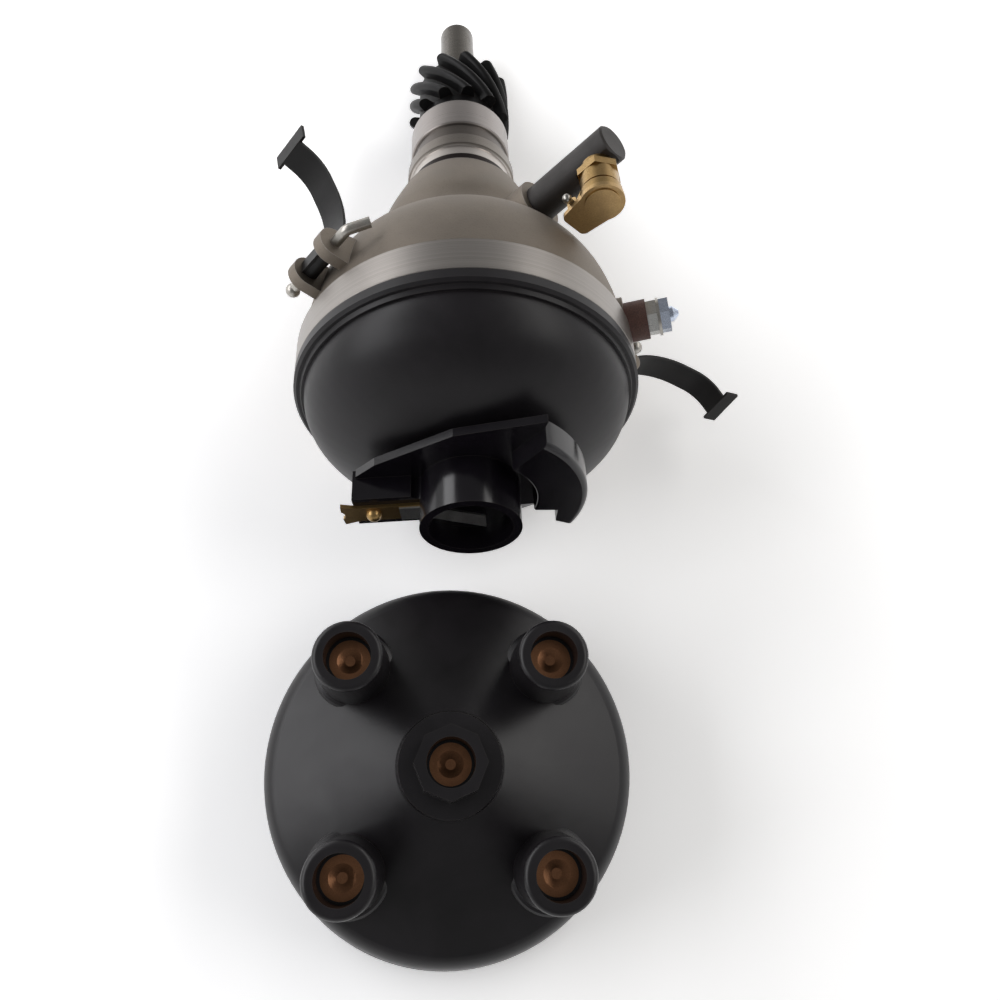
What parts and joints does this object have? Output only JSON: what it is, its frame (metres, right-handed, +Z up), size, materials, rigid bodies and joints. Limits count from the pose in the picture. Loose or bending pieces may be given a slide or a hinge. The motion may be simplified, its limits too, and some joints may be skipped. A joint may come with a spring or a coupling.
{
  "type": "ignition distributor",
  "caption": "Ignition distributor with helical drive gear, spring clips, oil cup, dust cover and rotor, its cap taken off and set down in front.",
  "frame": {"origin": "middle of the set's bounding box, on the bench it lies on", "axes": "+Z up from the bench, +Y from the cap towards the drive shaft's end, +X to the right seen from the cap"},
  "size_m": [0.1344, 0.298, 0.0891],
  "materials": {
    "cast_aluminium": "as cast, matte, with bright turned bands",
    "bronze": "sintered bronze",
    "steel": "ground",
    "zinc_steel": "zinc plated",
    "black_steel": "oil-blacked spring steel",
    "gear_steel": "phosphated, oily",
    "black_rubber": "matte",
    "black_tube": "matte black",
    "black_moulding": "satin phenolic",
    "gloss_moulding": "glossy phenolic",
    "brown_phenolic": "paper phenolic",
    "red_fibre": "fibre",
    "brass": "satin, aged",
    "contact_metal": "tungsten",
    "felt": "oiled felt",
    "carbon": "pressed carbon",
    "copper": "copper strip"
  },
  "bodies": {
    "housing": {"housing": "cast_aluminium", "upper_bushing": "bronze", "lower_bushing": "bronze", "shank_seal_ring": "black_rubber", "dust_cover": "black_moulding", "breaker_plate": "zinc_steel", "breaker_plate_screws": "zinc_steel", "breaker_pivot_post": "steel", "fixed_contact": "contact_metal", "contact_bracket": "zinc_steel", "contact_screw": "zinc_steel", "condenser": "zinc_steel", "condenser_strap": "zinc_steel", "condenser_screw": "zinc_steel", "cam_felt": "felt", "terminal_bush": "brown_phenolic", "terminal_stud": "zinc_steel", "terminal_clamp_nut": "zinc_steel", "terminal_washer": "zinc_steel", "terminal_nut": "zinc_steel", "primary_strap": "copper", "oil_tube": "black_tube", "oil_wick": "felt", "oil_cup_body": "brass", "oil_cup_hinge_pin": "steel", "left_clip_pin": "steel", "right_clip_pin": "steel"},
    "drive_shaft": {"shaft": "steel", "drive_gear": "gear_steel", "gear_pin": "steel", "gear_thrust_washer": "gear_steel", "weight_plate": "zinc_steel", "cam_screw": "steel", "advance_spring_front": "steel", "advance_spring_rear": "steel"},
    "cam": {"cam": "steel"},
    "flyweight_front": {"flyweight_front": "steel"},
    "flyweight_rear": {"flyweight_rear": "steel"},
    "breaker_lever": {"breaker_lever": "zinc_steel", "rubbing_block": "red_fibre", "moving_contact": "contact_metal", "breaker_spring": "steel"},
    "rotor": {"rotor_body": "gloss_moulding", "rotor_electrode": "brass", "rotor_leaf_spring": "steel", "electrode_rivet": "brass"},
    "left_clip": {"left_cap_clip": "black_steel"},
    "right_clip": {"right_cap_clip": "black_steel"},
    "oil_lid": {"oil_cup_lid": "brass"},
    "cap": {"cap_shell": "black_moulding", "cap_tower_terminals": "brass", "cap_centre_terminal": "brass", "carbon_button": "carbon"}
  },
  "joints": [
    {"name": "shaft_spin", "type": "hinge", "parent": "housing", "child": "drive_shaft", "pos_m": [-0.01401, -0.00757, 0.04534], "axis": [0, -0.9724, 0.2334], "continuous": true},
    {"name": "cam_advance", "type": "hinge", "parent": "drive_shaft", "child": "cam", "pos_m": [-0.01401, -0.00757, 0.04534], "axis": [0, 0.9724, -0.2334], "range_deg": [0, 8.4], "stiffness_Nm_per_rad": 0.02, "deforming": ["advance_spring_front", "advance_spring_rear"]},
    {"name": "flyweight_front_swing", "type": "hinge", "parent": "drive_shaft", "child": "flyweight_front", "pos_m": [0.00736, -0.00757, 0.04534], "axis": [0, 0.9724, -0.2334], "range_deg": [0, 12]},
    {"name": "flyweight_rear_swing", "type": "hinge", "parent": "drive_shaft", "child": "flyweight_rear", "pos_m": [-0.03539, -0.00757, 0.04534], "axis": [0, 0.9724, -0.2334], "range_deg": [0, 12]},
    {"name": "rotor_pull", "type": "slide", "parent": "cam", "child": "rotor", "axis": [0, -0.9724, 0.2334], "range_m": [0, 0.007]},
    {"name": "breaker_lever_open", "type": "hinge", "parent": "housing", "child": "breaker_lever", "pos_m": [-0.03579, -0.01231, 0.0256], "axis": [0, 0.9724, -0.2334], "range_deg": [-0.7, 4], "stiffness_Nm_per_rad": 0.4},
    {"name": "left_clip_swing", "type": "hinge", "parent": "housing", "child": "left_clip", "pos_m": [-0.05067, 0.01735, 0.06777], "axis": [0.6018, 0.1864, 0.7766], "range_deg": [0, 160]},
    {"name": "right_clip_swing", "type": "hinge", "parent": "housing", "child": "right_clip", "pos_m": [0.02946, 0.00747, 0.0266], "axis": [-0.3206, -0.2211, -0.9211], "range_deg": [-76.6, 83.4]},
    {"name": "oil_lid_open", "type": "hinge", "parent": "housing", "child": "oil_lid", "pos_m": [0.01465, 0.03074, 0.07129], "axis": [0.766, -0.15, -0.625], "range_deg": [0, 85], "stiffness_Nm_per_rad": 0.02},
    {"name": "cap_lift", "type": "slide", "parent": "housing", "child": "cap", "axis": [0, -0.7071, 0.7071], "range_m": [0, 0.1]}
  ],
  "couplings": [
    {"joint": "flyweight_front_swing", "follows": "cam_advance", "ratio": 1.4286},
    {"joint": "flyweight_rear_swing", "follows": "cam_advance", "ratio": 1.4286}
  ]
}
